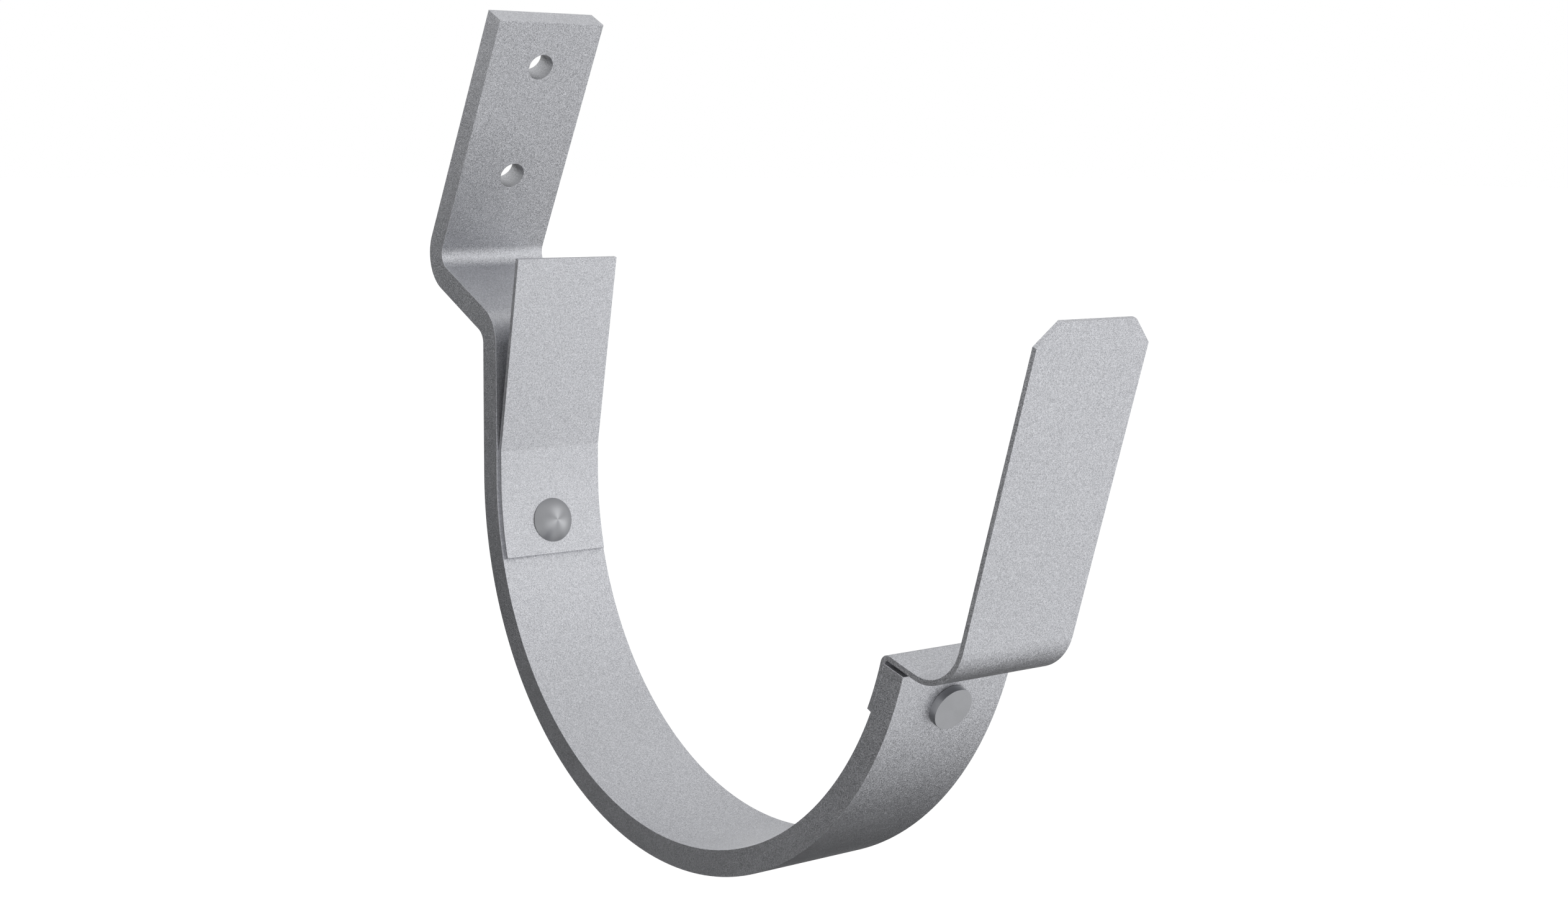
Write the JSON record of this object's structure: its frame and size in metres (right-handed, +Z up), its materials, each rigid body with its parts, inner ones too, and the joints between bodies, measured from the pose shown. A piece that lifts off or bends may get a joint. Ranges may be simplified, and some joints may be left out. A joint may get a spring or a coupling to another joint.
{
  "type": "gutter bracket",
  "caption": "Flat-bar bracket bent into a half-round gutter seat with an offset, sloping fixing plate; riveted sheet clips are bent over the gutter's rear edge and front bead.",
  "frame": {"origin": "on the wall face of the fixing plate, midway between its two holes", "axes": "+X away from the wall, +Y along the gutter, +Z up with the round seat level; the plate leans 27 degrees forward of upright, to suit a fascia board square to the rafters"},
  "size_m": [0.1843, 0.025, 0.1625],
  "materials": {
    "galvanised_bar": "hot-dip galvanised, fine matt grain",
    "galvanised_sheet": "galvanised sheet, fine matt grain",
    "rivet_steel": "smooth satin steel"
  },
  "bodies": {
    "root": {"bracket_bar": "galvanised_bar", "rear_clip": "galvanised_sheet", "front_clip": "galvanised_sheet", "rear_rivet": "rivet_steel", "front_rivet": "rivet_steel"}
  },
  "joints": []
}
